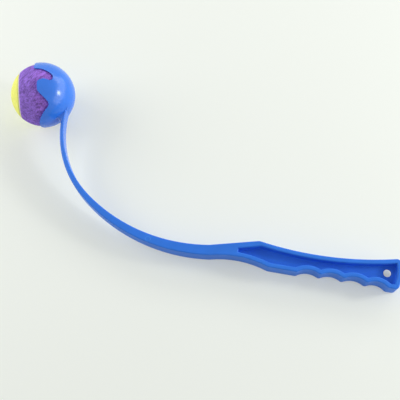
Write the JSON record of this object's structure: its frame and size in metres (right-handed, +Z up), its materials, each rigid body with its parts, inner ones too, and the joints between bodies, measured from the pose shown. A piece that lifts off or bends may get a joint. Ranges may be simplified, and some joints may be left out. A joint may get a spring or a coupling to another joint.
{
  "type": "dog ball launcher",
  "caption": "One-piece plastic ball launcher: clawed cup, springy tapered arm and I-section finger-groove handle, holding a felt tennis ball that slides out of the cup's mouth.",
  "frame": {"origin": "centre of the footprint's box, on the table the launcher lies on", "axes": "+X from the ball along the handle to the tail, +Y away from the belly edge towards the cup, +Z up from the table"},
  "size_m": [0.4191, 0.1756, 0.0677],
  "materials": {
    "blue_plastic": "satin moulded",
    "ball_rubber": "matt",
    "yellow_felt": "needled felt",
    "purple_felt": "needled felt",
    "seam_rubber": "matt"
  },
  "bodies": {
    "launcher": {"launcher": "blue_plastic"},
    "ball": {"core_upper": "ball_rubber", "core_lower": "ball_rubber", "felt_light": "yellow_felt", "felt_dark": "purple_felt", "seam_bead": "seam_rubber"}
  },
  "joints": [
    {"name": "ball_release", "type": "slide", "parent": "launcher", "child": "ball", "axis": [-0.9703, -0.2388, -0.0386], "range_m": [0, 0.04]}
  ]
}
